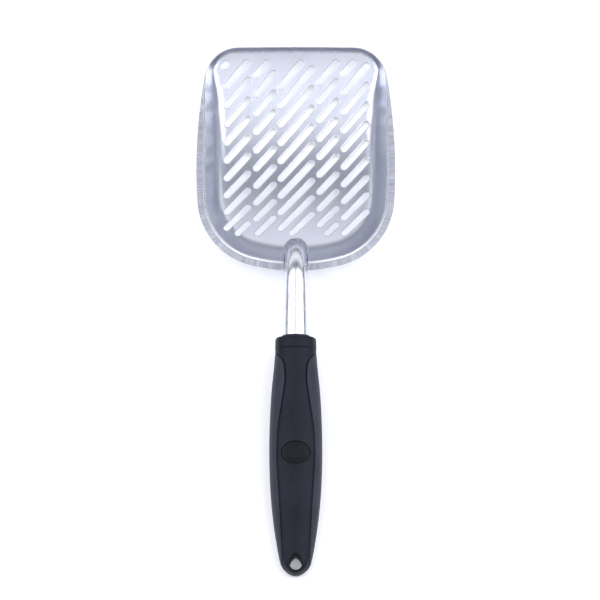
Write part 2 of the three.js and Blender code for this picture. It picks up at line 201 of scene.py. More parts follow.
def shade(obj, angle):
    obj.data.shade_smooth()
    obj.data.set_sharp_from_angle(angle=math.radians(angle))


def bridge(inner, outer):
    """Faces between two equal loops of point numbers."""
    count = len(inner)
    return [(inner[i], inner[(i + 1) % count], outer[(i + 1) % count], outer[i]) for i in range(count)]


def loft(rings, joined=False):
    """Points and faces that skin equal rings. The ends are closed, or joined to each other."""
    count = len(rings[0])
    points = [p for ring in rings for p in ring]
    loops = [range(r * count, (r + 1) * count) for r in range(len(rings))]
    faces = [face for inner, outer in zip(loops, loops[1:]) for face in bridge(inner, outer)]
    ends = bridge(loops[-1], loops[0]) if joined else [tuple(reversed(loops[0])), tuple(loops[-1])]
    return points, faces + ends


def apply_boolean(obj, cutter, operation):
    modifier = obj.modifiers.new(operation, "BOOLEAN")
    modifier.object = cutter
    modifier.operation = operation
    modifier.solver = "EXACT"
    depsgraph = bpy.context.evaluated_depsgraph_get()
    mesh = bpy.data.meshes.new_from_object(obj.evaluated_get(depsgraph))
    obj.modifiers.clear()
    old = obj.data
    obj.data = mesh
    bpy.data.meshes.remove(old)
    bpy.data.objects.remove(cutter)


def rest_on_table(obj):
    """Flattens what would reach below the table."""
    for vertex in obj.data.vertices:
        vertex.co.z = max(vertex.co.z, 0)


# ---------------------------------------------------------------- pan
def floor_height(y):
    return np.where(y < FLOOR_FRONT, FLOOR_BEND / 2 * (FLOOR_FRONT - y) ** 2, 0)


def floor_thick(y):
    return mix(FLOOR_THICK, LIP_THICK, smooth(y, FLOOR_THINS_FROM, PAN_FRONT))


def crest_height(y):
    return CREST_FRONT + CREST_SLOPE * (PAN_FRONT - y)


def band_width(y):
    return mix(BAND_WIDTH, LIP_BAND, smooth(y, *BAND_NARROWS))


def wall_width(y):
    return mix(WALL_WIDTH, LIP_WALL, smooth(y, WALL_NARROWS_FROM, PAN_FRONT))


def floor_distance(y):
    """The distance down the curved floor to a place, from the front where the floor starts to bend."""
    run = FLOOR_FRONT - y
    slope = FLOOR_BEND * run
    return (run * np.hypot(1, slope) + np.arcsinh(slope) / FLOOR_BEND) / 2


def floor_place(distance):
    """The inverse of floor_distance, by Newton's method."""
    run = np.array(distance, float)
    for _ in range(8):
        run = run - (floor_distance(FLOOR_FRONT - run) - distance) / np.hypot(1, FLOOR_BEND * run)
    return FLOOR_FRONT - run


def pan_outline():
    """Points on the pan's outline and their outward normals, once round from the middle of the back."""
    arcs = []
    centre = np.array([0, PAN_BACK + PAN_ARCS[0][0]])
    start = -90
    for i, (radius, end) in enumerate(PAN_ARCS):
        arcs.append((centre, radius, start, end))
        turn = np.array([math.cos(math.radians(end)), math.sin(math.radians(end))])
        following = PAN_ARCS[i + 1][0] if i + 1 < len(PAN_ARCS) else radius + centre[0] / turn[0]
        centre = centre + turn * (radius - following)
        start = end
    arcs.append((centre, following, start, 90))
    points, normals = [], []
    for centre, radius, start, end in arcs:
        steps = max(2, round(radius * math.radians(end - start) / OUTLINE_STEP))
        for angle in np.radians(np.linspace(start, end, steps, endpoint=False)):
            normal = np.array([math.cos(angle), math.sin(angle)])
            points.append(centre + radius * normal)
            normals.append(normal)
    flip = np.array([-1, 1])
    mirrored = [(p * flip, n * flip) for p, n in zip(points[1:], normals[1:])][::-1]
    points = points + [np.array([0, PAN_FRONT])] + [p for p, _ in mirrored]
    normals = normals + [np.array([0, 1])] + [n for _, n in mirrored]
    return np.array(points), np.array(normals)


RIM, RIM_NORMAL = pan_outline()


def rim_place(places):
    """For places in plan: how far in from the outline, and the Y of the rim and its crest beside them."""
    inset = np.empty(len(places))
    rim_y = np.empty(len(places))
    crest_y = np.empty(len(places))
    for i, place in enumerate(places):
        nearest = np.argmin(((RIM - place) ** 2).sum(1))
        normal = RIM_NORMAL[nearest]
        inset[i] = (RIM[nearest] - place) @ normal
        rim_y[i] = place[1] + inset[i] * normal[1]
        crest_y[i] = rim_y[i] - band_width(rim_y[i]) * normal[1]
    return inset, rim_y, crest_y


def inner_height(places):
    inset, rim_y, crest_y = rim_place(places)
    rise = np.clip(1 - (inset - band_width(rim_y)) / wall_width(rim_y), 0, 1)
    return floor_height(places[:, 1]) + (crest_height(crest_y) - floor_height(crest_y)) * rise**2


def silhouette_height(rim_y, crest_y):
    """The height of the pan's outermost edge, where the ground band ends."""
    return crest_height(crest_y) - BAND_DROP - BAND_SLOPE * band_width(rim_y)


def outer_height(places):
    inset, rim_y, crest_y = rim_place(places)
    rise = np.clip(1 - inset / (band_width(rim_y) + wall_width(rim_y) + UNDER_MARGIN), 0, 1)
    foot = floor_height(rim_y) - floor_thick(rim_y)
    under = floor_height(places[:, 1]) - floor_thick(places[:, 1])
    return under + (silhouette_height(rim_y, crest_y) - foot) * rise**2


def slot_lines():
    """Every slot's two end centres, as (x, distance down the floor)."""
    first, last = floor_distance(SLOTS_FRONT), floor_distance(SLOTS_BACK)
    lines = []
    for middle, half, start, rows in SLOT_COLUMNS:
        for row in range(rows):
            distance = start + row * SLOT_PITCH
            ends = np.clip([distance - half * SLOT_SLOPE, distance + half * SLOT_SLOPE], first, last)
            lines.append([(middle + (end - distance) / SLOT_SLOPE, end) for end in ends])
    return np.array(lines)


SLOTS = slot_lines()


def slot_gap(places):
    """The distance along the floor from each place to the nearest slot's edge, below 0 inside a slot."""
    flat = np.column_stack([places[:, 0], floor_distance(places[:, 1])])
    gap = np.full(len(places), np.inf)
    for start, end in SLOTS:
        line = end - start
        share = np.clip((flat - start) @ line / (line @ line), 0, 1)
        away = flat - start - share[:, None] * line
        gap = np.minimum(gap, np.hypot(away[:, 0], away[:, 1]) - SLOT_RADIUS)
    return gap


def slot_loop(start, end, grow):
    """A slot's rim in plan, grown by a margin."""
    heading = math.atan2(*(end - start)[::-1])
    radius = SLOT_RADIUS + grow
    round_steps = 12
    points = []
    for centre, other, turned in ((end, start, -math.pi / 2), (start, end, math.pi / 2)):
        for i in range(round_steps + 1):
            angle = heading + turned + math.pi * i / round_steps
            points.append(centre + radius * np.array([math.cos(angle), math.sin(angle)]))
        side = int(np.hypot(*(other - centre)) / OUTLINE_STEP)
        offset = points[-1] - centre
        points += [mix(centre, other, i / (side + 1)) + offset for i in range(1, side + 1)]
    points = np.array(points)
    return np.column_stack([points[:, 0], floor_place(points[:, 1])])


def rim_ring(inset):
    return RIM - RIM_NORMAL * np.asarray(inset)[:, None]


def edge_drop(gap):
    """How far the rounded rim of a slot falls below the floor."""
    inside = np.clip(SLOT_EDGE - gap, 0, SLOT_EDGE)
    return SLOT_EDGE - np.sqrt(SLOT_EDGE**2 - inside**2)


def fill_points(rings):
    """Points inside a sheet: its rings, rings round the slots, and a staggered grid over the floor."""
    extra = [p for ring in rings for p in ring]
    ringed = len(extra)
    extra += [p for slot in SLOTS for grow in SLOT_RINGS for p in slot_loop(*slot, grow)]
    across = np.arange(-GRID_HALF_WIDTH, GRID_HALF_WIDTH + 1, FLOOR_STEP)
    for row, y in enumerate(np.arange(GRID_BACK, GRID_FRONT, FLOOR_STEP * ROW_SHARE)):
        extra += [(x + (row % 2) * FLOOR_STEP / 2, y) for x in across]
    extra = np.array(extra)
    inset, rim_y, _ = rim_place(extra)
    gap = slot_gap(extra)
    in_ring = np.arange(len(extra)) < ringed
    in_floor = inset > band_width(rim_y) + wall_width(rim_y)
    by_slot = np.min([np.abs(gap - grow) for grow in SLOT_RINGS], axis=0) < 0.02
    keep = np.where(in_ring, gap > RING_CLEAR, by_slot | (in_floor & (gap > GRID_CLEAR)))
    return list(extra[keep])


def sheet(edge, rings, height, side):
    """One face of the pan, triangulated in plan inside an edge ring, with the slots cut out.
    Returns its points, its faces, and where the edge's and the slots' rims ended up."""
    loops = [edge] + [slot_loop(*slot, 0) for slot in SLOTS]
    starts = np.cumsum([0] + [len(loop) for loop in loops])
    numbers = [range(start, start + len(loop)) for start, loop in zip(starts, loops)]
    edges = [(loop[i], loop[(i + 1) % len(loop)]) for loop in numbers for i in range(len(loop))]
    points = [p for loop in loops for p in loop] + fill_points(rings)
    out = delaunay_2d_cdt([Vector(p) for p in points], edges, [], 1, 1e-5)
    plan = np.array([tuple(v) for v in out[0]])
    faces = np.array(out[2])
    faces = faces[slot_gap(plan[faces].mean(1)) > 0]
    place_of = {}
    for made, origins in enumerate(out[3]):
        for origin in origins:
            place_of[origin] = made
    heights = height(plan) - side * edge_drop(np.maximum(slot_gap(plan), 0))
    rims = [[place_of[i] for i in loop] for loop in numbers]
    return np.column_stack([plan, heights]), faces.tolist(), rims


def rim_profile(crest_inset, under_inset):
    """Rings from the inner wall over the crest, down the ground band and round under its edge, each as
    (insets and heights, share across the band or -1 on the crest)."""
    rim_y = RIM[:, 1]
    band = band_width(rim_y)
    crest_y = rim_y - band * RIM_NORMAL[:, 1]
    crest = np.column_stack([band, crest_height(crest_y)])
    edge = np.column_stack([np.zeros(len(RIM)), silhouette_height(rim_y, crest_y)])
    length = np.hypot(*(edge - crest).T)
    from_crest = np.minimum(0.8 / length, 0.4)[:, None]
    to_edge = 1 - np.minimum(0.5 / length, 0.3)[:, None]
    inner = np.column_stack([crest_inset, inner_height(rim_ring(crest_inset))])
    under = np.column_stack([under_inset, outer_height(rim_ring(under_inset))])
    on_band = [mix(crest, edge, from_crest), mix(crest, edge, to_edge)]

    def bend(a, corner, b, t):
        return (1 - t) ** 2 * a + 2 * t * (1 - t) * corner + t**2 * b

    rings = [(bend(inner, crest, on_band[0], t), -1.0) for t in (0.2, 0.4, 0.6, 0.8, 1.0)]
    rings += [(mix(on_band[0], on_band[1], t), t) for t in (0.12, 0.5, 0.88)]
    rings += [(bend(on_band[1], edge, under, t), 1.0) for t in (0.0, 0.25, 0.5, 0.75)]
    return rings


def ragged_edge(rim_y):
    """The ground edge of the band is not quite even: small insets, fading out where the band is thin."""
    random = np.random.default_rng(7)
    ragged = np.convolve(random.random(len(RIM)), (0.25, 0.5, 0.25), "same") * RAGGED
    return ragged * smooth(band_width(rim_y), 1, 4)


def build_pan():
    rim_y = RIM[:, 1]
    crest_inset = band_width(rim_y) + np.minimum(CREST_ROUND, 0.4 * wall_width(rim_y))
    under_inset = np.full(len(RIM), UNDER_INSET)
    wall_rings = [rim_ring(band_width(rim_y) + wall_width(rim_y) * (1 - rise)) for rise in WALL_RISES]
    widest = band_width(rim_y) + wall_width(rim_y) + UNDER_MARGIN
    outer_rings = [rim_ring(widest * (1 - rise)) for rise in (0.93, *WALL_RISES)]
    top, top_faces, top_rims = sheet(rim_ring(crest_inset), wall_rings, inner_height, 1)
    low, low_faces, low_rims = sheet(rim_ring(under_inset), outer_rings, outer_height, -1)
    low_rims = [[len(top) + i for i in rim] for rim in low_rims]
    points = [tuple(p) for p in (*top, *low)]
    faces = [tuple(f) for f in top_faces]
    faces += [tuple(len(top) + i for i in reversed(f)) for f in low_faces]

    ground = [0.0] * len(points)
    ragged = ragged_edge(rim_y)
    rings = [top_rims[0]]
    for places, share in rim_profile(crest_inset, under_inset):
        inset, height = places.T
        plan = rim_ring(inset + ragged * (share == 1.0))
        rings.append(range(len(points), len(points) + len(RIM)))
        points += [(x, y, z) for (x, y), z in zip(plan, height)]
        ground += [share] * len(RIM)
    rings.append(low_rims[0])
    for inner, outer in [*zip(rings, rings[1:]), *zip(top_rims[1:], low_rims[1:])]:
        faces += bridge(inner, outer)

    pan = make_object("pan", points, faces, 35)
    mark_pan(pan, points, ground, [i for rim in top_rims[1:] + low_rims[1:] for i in rim])
    apply_boolean(pan, build_neck("neck_cutter", SOCKET_GAP, tang=False), "DIFFERENCE")
    rest_on_table(pan)
    shade(pan, 35)
    return pan


def mark_pan(pan, points, ground, slot_rims):
    """Point attributes for the pan's material: ground, the share across the ground band, with -1 on the
    crest and 0 elsewhere; along, the distance round the outline; slot, 1 on the slots' rims, where the
    material paints shade; and design, the place in the design pose."""
    length = np.concatenate([[0], np.cumsum(np.hypot(*np.diff(RIM, axis=0).T))])
    along = [length[np.argmin(((RIM - (x, y)) ** 2).sum(1))] for x, y, _ in points]
    slot = np.zeros(len(points))
    slot[slot_rims] = 1
    for name, values in (("ground", ground), ("along", along), ("slot", slot)):
        attribute = pan.data.attributes.new(name, "FLOAT", "POINT")
        attribute.data.foreach_set("value", np.array(values, float))
    place = pan.data.attributes.new("design", "FLOAT_VECTOR", "POINT")
    place.data.foreach_set("vector", np.array(points, float).ravel())


# ---------------------------------------------------------------- neck
def neck_curve():
    """Points on the neck's middle line, from its nose into the collar, and each one's share of its length."""
    corners = [Vector((0, y, z)) for y, z in NECK_PATH] + [in_handle(HANDLE_START - 1.8), in_handle(20)]
    corners = [2 * corners[0] - corners[1]] + corners
    knots = [0.0]
    for a, b in zip(corners, corners[1:]):
        knots.append(knots[-1] + math.sqrt((b - a).length))
    line = []
    for i in range(1, len(corners) - 2):
        for step in range(40):
            line.append(centripetal(corners[i - 1 : i + 3], knots[i - 1 : i + 3], step / 40))
    line.append(corners[-2])
    lengths = np.concatenate([[0], np.cumsum([(b - a).length for a, b in zip(line, line[1:])])])
    return line, lengths / lengths[-1]


def centripetal(p, k, share):
    """Barry and Goldman's form of the centripetal Catmull-Rom curve between the middle two points."""
    t = k[1] + (k[2] - k[1]) * share

    def between(a, b, low, high):
        return a * ((high - t) / (high - low)) + b * ((t - low) / (high - low))

    a = [between(p[i], p[i + 1], k[i], k[i + 1]) for i in range(3)]
    b = [between(a[i], a[i + 1], k[i], k[i + 2]) for i in range(2)]
    return between(b[0], b[1], k[1], k[2])


NECK_LINE, NECK_SHARE = neck_curve()


def neck_at(share):
    """A point on the neck's middle line, and the direction square to the line there, upwards."""
    i = int(np.clip(np.searchsorted(NECK_SHARE, share) - 1, 0, len(NECK_LINE) - 2))
    t = (share - NECK_SHARE[i]) / (NECK_SHARE[i + 1] - NECK_SHARE[i])
    ahead = NECK_LINE[min(i + 2, len(NECK_LINE) - 1)] - NECK_LINE[max(i - 1, 0)]
    ahead.normalize()
    return NECK_LINE[i].lerp(NECK_LINE[i + 1], t), Vector((0, ahead.z, -ahead.y))


def neck_radius(share):
    nose = math.sqrt(1 - max(0, 1 - share / NOSE_ROUND) ** 2)
    return mix(NOSE_RADIUS, NECK_RADIUS, float(smooth(share, 0.2, 1))) * max(nose, 0.05)


def circle(centre, up, radius, sides):
    angles = [2 * math.pi * i / sides for i in range(sides)]
    return [centre + up * (radius * math.sin(a)) + Vector((radius * math.cos(a), 0, 0)) for a in angles]


def build_neck(name, grow, tang=True):
    """The neck, grown by a margin, with or without the tang that runs inside the handle."""
    rings = []
    for share in np.linspace(0, 1, 90) ** 1.3:
        centre, up = neck_at(share)
        rings.append(circle(centre, up, neck_radius(share) + grow, ROUND_SIDES))
    if tang:
        steps = [
            (HANDLE_START - 1.72, NECK_RADIUS - 0.25),
            (HANDLE_START - 1.7, TANG_RADIUS),
            (HANDLE_START, TANG_RADIUS),
            (TANG_LENGTH - 1, TANG_RADIUS),
            (TANG_LENGTH, TANG_RADIUS - TANG_CHAMFER),
        ]
        rings += [circle(in_handle(along), UP, radius, ROUND_SIDES) for along, radius in steps]
    return make_object(name, *loft(rings))


def build_bead():
    """A half ring of weld, its surface in overlapping ripples."""
    centre, up = neck_at(BEAD_AT)
    forward = Vector((0, up.z, -up.y))
    turns = [2 * math.pi * j / 20 for j in range(20)]
    steps = 120
    rings = []
    for i in range(steps + 1):
        share = i / steps
        angle = math.radians(mix(-142, -38, share))
        radial = up * math.sin(angle) + Vector((math.cos(angle), 0, 0))
        end = math.sqrt(max(1 - (2 * share - 1) ** 12, 0.02))
        ripple = 0.93 + 0.07 * abs(math.sin(share * BEAD_RIPPLES * math.pi))
        radius = BEAD_RADIUS * end * ripple
        middle = centre + radial * (neck_radius(BEAD_AT) + 1.55)
        ring = []
        for t in turns:
            ring.append(middle + radial * (radius * math.cos(t)) + forward * (radius * math.sin(t)))
        rings.append(ring)
    return make_object("weld", *loft(rings), 60)


# ---------------------------------------------------------------- handle
def tail_shrink(along):
    """How much the rounded tail narrows and thins the handle."""
    past = (along - (HANDLE_END - TAIL_ROUND)) / TAIL_ROUND
    across = math.sqrt(max(1 - max(past, 0) ** 2, 0.0004))
    return across, mix(0.45, 1, across)


def handle_size(along, margin=0.0):
    """The handle's half width and half depth at a place along it, less a margin."""
    across, deep = tail_shrink(along)
    width = (through(HALF_WIDTH, along) - margin) * across
    return width, (through(HALF_DEPTH, along) - margin) * deep


def surface_up(x, width, depth):
    """The height of a superellipse section above its middle, at a place across."""
    share = min(abs(x) / width, 1.0)
    return depth * (1 - share**SECTION_POWER) ** (1 / SECTION_POWER)


def around(width, depth, angle):
    """A point on a superellipse section, as (across, up)."""
    c, s = math.cos(angle), math.sin(angle)
    power = 2 / SECTION_POWER
    return width * math.copysign(abs(c) ** power, c), depth * math.copysign(abs(s) ** power, s)


def spine_half(along):
    if along < TAIL_CENTRE:
        return through(SPINE, max(along, SPINE[0][0]))
    tail = SPINE[-1][1]
    return math.sqrt(max(tail**2 - (along - TAIL_CENTRE) ** 2, 0))


def spine_edge_gap(x, along):
    """The distance from a place on the spine to the groove beside it."""
    if along < TAIL_CENTRE:
        return spine_half(along) - abs(x)
    return SPINE[-1][1] - math.hypot(x, along - TAIL_CENTRE)


def rounded(gap, radius):
    """How far a rounded edge falls at a distance from it."""
    inside = min(max(radius - gap, 0), radius)
    return radius - math.sqrt(radius**2 - inside**2)


def core_section(along):
    """Half of the core's section on the right, from the front's middle to the back's middle."""
    in_collar = along < COLLAR_LENGTH - 0.2
    width, depth = handle_size(along, 0.4 * in_collar)
    half = max(min(spine_half(along), 0.985 * width), 0.05)
    ledge = float(smooth(along, 145.5, 148.5))
    low_width = width - mix(GRIP_THICK, 0.05, ledge) * tail_shrink(along)[0]
    low_depth = depth - mix(GRIP_THICK, 1.7, ledge)
    places = [half * s for s in (0, 0.17, 0.34, 0.5, 0.64, 0.76, 0.86)]
    places += [half - half * 0.14 * s for s in (0.72, 0.5, 0.3, 0.15, 0.05, 0)]
    front = []
    for x in places:
        fall = rounded(max(spine_edge_gap(x, along), 0), SPINE_EDGE)
        front.append((x, max(surface_up(x, width, depth) - fall, surface_up(x, low_width, low_depth))))
    start = min(half, 0.999 * low_width)
    front.append((half, surface_up(start, low_width, low_depth)))
    first = math.acos(min((start / low_width) ** (SECTION_POWER / 2), 1))
    for i in range(1, 10):
        front.append(around(low_width, low_depth, first * (1 - i / 10)))
    return front + [(low_width, 0.0)] + [(x, -up) for x, up in reversed(front)]


def handle_ring(along, section):
    """A whole ring from the right half of a section."""
    right = [in_handle(along, x, up) for x, up in section]
    left = [in_handle(along, -x, up) for x, up in section[-2:0:-1]]
    return right + left


def full_ring(along, width, depth, sides=96):
    angles = [math.pi / 2 - 2 * math.pi * i / sides for i in range(sides)]
    return [in_handle(along, *around(width, depth, angle)) for angle in angles]


def build_collar():
    rings = []
    rim = [(HANDLE_START + along, inset) for along, inset in COLLAR_RIM]
    step = [(COLLAR_LENGTH - along, inset) for along, inset in COLLAR_STEP]
    for along, inset in [*rim, (6, 0), *step]:
        width, depth = handle_size(along)
        rings.append(full_ring(along, width - inset, depth - inset))
    return make_object("collar", *loft(rings))


def prism(name, outline, low, high, flare=0.0):
    """An outline (across, along) run from low to high in the handle. A flare opens it out at its top."""
    middle = np.mean(outline, axis=0)
    steps = [(low, 0), (high, 0)]
    if flare:
        steps = [(low, 0), (high - 1.2, 0), (high, flare), (high + 8, flare)]
    rings = []
    for up, grow in steps:
        ring = []
        for x, along in outline:
            away = np.array([x, along]) - middle
            away = away / max(np.hypot(*away), 1e-6) * grow
            ring.append(in_handle(along + away[1], x + away[0], up))
        rings.append(ring)
    return make_object(name, *loft(rings))


def hang_outline():
    """A pointed arch over a half circle, as (across, along)."""
    points = []
    for t in np.linspace(0, 1, 10, endpoint=False):
        x = (1 - t) ** 2 * HANG_HALF + 2 * t * (1 - t) * HANG_HALF * 0.9
        y = 2 * t * (1 - t) * HANG_ARCH * 0.7 + t**2 * HANG_ARCH
        points.append((x, HANG_AT - y))
    arch = points + [(0, HANG_AT - HANG_ARCH)] + [(-x, y) for x, y in reversed(points[1:])]
    turns = np.linspace(math.pi, 0, 16)[:-1]
    return arch + [(HANG_HALF * math.cos(t), HANG_AT + HANG_HALF * math.sin(t)) for t in turns]


def thumb_outline(across, along):
    """An oval round the thumb pad's middle, as (across, along)."""
    steps = 72
    turns = [2 * math.pi * i / steps for i in range(steps)]
    return [(across * math.cos(t), THUMB_AT + along * math.sin(t)) for t in turns]


def build_core():
    stations = list(np.linspace(6, 30, 60)) + list(np.linspace(30, TAIL_CENTRE, 90))[1:]
    tail = SPINE[-1][1]
    stations += [TAIL_CENTRE + tail * math.sin(t) for t in np.radians(np.linspace(3, 90, 22))]
    stations += [mix(TAIL_CENTRE + tail, HANDLE_END, t) for t in (0.25, 0.6, 0.85, 1)]
    core = make_object("handle_core_shell", *loft([handle_ring(a, core_section(a)) for a in stations]))
    apply_boolean(core, build_collar(), "UNION")
    bore = [circle(in_handle(a), UP, TANG_RADIUS + SOCKET_GAP, 48) for a in (-2, TANG_LENGTH + 0.5)]
    apply_boolean(core, make_object("bore", *loft(bore)), "DIFFERENCE")
    recess = thumb_outline(THUMB_HALF[0] + THUMB_GAP, THUMB_HALF[1] + THUMB_GAP)
    apply_boolean(core, prism("recess", recess, THUMB_FLOOR, 20), "DIFFERENCE")
    top = surface_up(0, *handle_size(HANG_AT))
    apply_boolean(core, prism("hang", hang_outline(), -30, top + 0.1, 0.5), "DIFFERENCE")
    rest_on_table(core)
    shade(core, 32)
    return core


def grip_ring(along, side, first, last):
    """One ring of a grip: its outer face from edge to edge, rounded off, and its inner face back."""
    width, depth = handle_size(along)
    edge_x = spine_half(along) + GROOVE
    start = math.acos(min((edge_x / width) ** (SECTION_POWER / 2), 1))
    edge_up = surface_up(edge_x, width, depth)
    end_gap = min(along - first, last - along)
    inset = GRIP_THICK - 0.15
    outer, inner = [], []
    for angle in [start * math.cos(t) for t in np.linspace(0, math.pi, 40)]:
        x, up = around(width, depth, angle)
        gap = min(math.hypot(x - edge_x, up - math.copysign(edge_up, up)), end_gap)
        margin = rounded(gap, GRIP_EDGE)
        outer.append(around(width - margin, depth - margin, angle))
        inner.append(around(width - inset, depth - inset, angle))
    return [in_handle(along, side * x, up) for x, up in outer + inner[::-1]]


def build_grip(name, side):
    spots = np.arange(11.5, 60, 0.02)
    first = next(a for a in spots if spine_half(a) + GROOVE < 0.985 * handle_size(a)[0])
    last = TAIL_CENTRE - 0.6
    shares = (1 - np.cos(np.linspace(0, math.pi, 130))) / 2
    stations = mix(first, last, shares)
    return make_object(name, *loft([grip_ring(a, side, first, last) for a in stations]), 50)


def thumb_ring(share, sunk):
    """A ring of the thumb pad, sunk below the handle's surface."""
    outline = thumb_outline(THUMB_HALF[0] * share, THUMB_HALF[1] * share)
    return [in_handle(along, x, surface_up(x, *handle_size(along)) - sunk) for x, along in outline]


def build_thumb_pad():
    """An oval pad with a rounded rim and a dished face."""
    rings = [[in_handle(along, x, THUMB_FLOOR + 0.2) for x, along in thumb_outline(*THUMB_HALF)]]
    rings += [thumb_ring(share, sunk) for share, sunk in THUMB_RIM]
    edge, edge_sunk = THUMB_RIM[-1]
    for share in (0.8, 0.6, 0.4, 0.2, 0.02):
        rings.append(thumb_ring(share, edge_sunk + THUMB_DISH * (1 - (share / edge) ** 2)))
    return make_object("thumb_oval", *loft(rings))


def build_mouth_ring():
    steps = [(HANDLE_START + along, radius) for along, radius in MOUTH_RING]
    rings = [circle(in_handle(along), UP, radius, ROUND_SIDES) for along, radius in steps]
    return make_object("mouth_ring", *loft(rings, joined=True))


# ---------------------------------------------------------------- materials
class Nodes:
    """A short way to write a node material."""

    def __init__(self, name, owners=None):
        owners = bpy.data.materials if owners is None else owners
        self.material = owners.new(name)
        self.material.use_nodes = True
        self.tree = self.material.node_tree
        self.shader = self.tree.nodes.get("Principled BSDF") or self.tree.nodes["Background"]

    def add(self, kind, inputs=None, **settings):
        node = self.tree.nodes.new(kind)
        for key, value in settings.items():
            setattr(node, key, value)
        for key, value in (inputs or {}).items():
            self.put(value, node.inputs[key])
        return node

    def put(self, value, socket):
        if isinstance(value, bpy.types.NodeSocket):
            self.tree.links.new(value, socket)
        else:
            socket.default_value = value

    def math(self, operation, a, b=0.0):
        return self.add("ShaderNodeMath", {0: a, 1: b}, operation=operation).outputs[0]

    def noise(self, vector, scale, detail=3.0, roughness=0.5):
        inputs = {"Vector": vector, "Scale": scale, "Detail": detail, "Roughness": roughness}
        return self.add("ShaderNodeTexNoise", inputs).outputs["Fac"]

    def spread(self, value, low, high, to_low, to_high):
        inputs = {"Value": value, "From Min": low, "From Max": high, "To Min": to_low, "To Max": to_high}
        return self.add("ShaderNodeMapRange", inputs).outputs["Result"]

    def stretched(self, vector, scale):
        return self.add("ShaderNodeMapping", {"Vector": vector, "Scale": scale}).outputs["Vector"]

    def blend(self, share, a, b):
        node = self.add("ShaderNodeMix", data_type="RGBA")
        for value, socket in ((share, 0), (a, 6), (b, 7)):
            self.put(value, node.inputs[socket])
        return node.outputs[2]

    def bump(self, height, strength, distance, normal=None):
        inputs = {"Height": height, "Strength": strength, "Distance": distance}
        if normal is not None:
            inputs["Normal"] = normal
        return self.add("ShaderNodeBump", inputs).outputs["Normal"]

    def finish(self, **sockets):
        for name, value in sockets.items():
            self.put(value, self.shader.inputs[name.replace("_", " ")])
        return self.material


def object_place(nodes):
    return nodes.add("ShaderNodeTexCoord").outputs["Object"]


def pan_metal():
    """Cast aluminium: satin inside, a crest polished smooth and painted lighter as a highlight, and a band
    ground across its width.
    """
    n = Nodes("cast_aluminium")
    place = n.add("ShaderNodeAttribute", attribute_name="design").outputs["Vector"]
    ground = n.add("ShaderNodeAttribute", attribute_name="ground").outputs["Fac"]
    along = n.add("ShaderNodeAttribute", attribute_name="along").outputs["Fac"]
    on_band = n.spread(ground, 0.02, 0.1, 0, 1)
    on_crest = n.spread(ground, -0.3, -0.9, 0, 1)
    cloud = n.noise(place, 0.035, 4, 0.6)
    brushed = n.noise(n.stretched(place, (1.2, 0.09, 0.09)), 2.2, 5, 0.6)
    pits = n.noise(place, 1.6, 2, 0.5)
    stroke_inputs = {"X": along, "Y": n.math("MULTIPLY", ground, 0.35)}
    stroke_place = n.add("ShaderNodeCombineXYZ", stroke_inputs).outputs[0]
    strokes = n.noise(stroke_place, 1.5, 3, 0.7)
    patches = n.noise(stroke_place, 0.22, 2, 0.5)
    inside = n.blend(cloud, (0.60, 0.625, 0.71, 1), (0.70, 0.725, 0.81, 1))
    band = n.blend(n.spread(strokes, 0.3, 0.72, 0, 1), (0.26, 0.27, 0.31, 1), (0.56, 0.575, 0.64, 1))
    band = n.blend(n.spread(patches, 0.45, 0.65, 0, 0.4), band, (0.64, 0.65, 0.70, 1))
    color = n.blend(on_band, inside, band)
    # The crest's colour is lightened here as a painted highlight; its lower roughness further down is its
    # polish.
    color = n.blend(on_crest, color, (0.93, 0.93, 0.95, 1))
    # The slots' rims are coloured dark: painted shade along the slot edges.
    by_slot = n.add("ShaderNodeAttribute", attribute_name="slot").outputs["Fac"]
    color = n.blend(n.spread(by_slot, 0.1, 0.9, 0, 0.85), color, (0.16, 0.165, 0.185, 1))
    rough = n.spread(brushed, 0.3, 0.7, 0.27, 0.33)
    rough = n.math("ADD", rough, n.math("MULTIPLY", on_band, 0.1))
    rough = n.math("ADD", rough, n.math("MULTIPLY", on_crest, -0.12))
    height = n.math("ADD", n.math("MULTIPLY", brushed, 0.5), n.math("MULTIPLY", pits, 0.3))
    grooves = n.math("MULTIPLY", n.math("MULTIPLY", strokes, on_band), 3.0)
    normal = n.bump(n.math("ADD", height, grooves), 0.25, 0.00012)
    return n.finish(Base_Color=color, Roughness=rough, Normal=normal, Metallic=1.0)


def neck_metal():
    """Fine satin aluminium with faint drawing lines along the rod."""
    n = Nodes("neck_aluminium")
    place = object_place(n)
    lines = n.noise(n.stretched(place, (1, 0.06, 0.06)), 2600, 4, 0.6)
    cloud = n.noise(place, 60, 3, 0.6)
    color = n.blend(cloud, (0.68, 0.70, 0.76, 1), (0.79, 0.81, 0.87, 1))
    rough = n.math("ADD", n.spread(lines, 0.3, 0.7, 0.2, 0.27), n.spread(cloud, 0.3, 0.7, 0, 0.05))
    return n.finish(Base_Color=color, Roughness=rough, Normal=n.bump(lines, 0.08, 0.00005), Metallic=1.0)


def plastic(name, dark, light, rough, grain_scale, grain_depth):
    """Moulded plastic: a slow change of tone, a fine spark-eroded grain and slight handling shine."""
    n = Nodes(name)
    place = object_place(n)
    cloud = n.noise(place, 38, 4, 0.6)
    grain = n.noise(place, grain_scale, 3, 0.65)
    specks = n.spread(n.noise(place, grain_scale * 0.45, 1, 0.4), 0.62, 0.7, 0, 0.25)
    color = n.blend(n.spread(cloud, 0.3, 0.7, 0, 1), dark, light)
    color = n.blend(specks, color, tuple(min(1, c * 1.7) for c in light[:3]) + (1,))
    handled = n.spread(cloud, 0.3, 0.7, -0.04, 0.05)
    shine = n.math("ADD", n.spread(grain, 0.25, 0.75, rough - 0.06, rough + 0.08), handled)
    normal = n.bump(grain, 0.35, grain_depth)
    n.shader.inputs["Specular IOR Level"].default_value = 0.14
    return n.finish(Base_Color=color, Roughness=shine, Normal=normal)


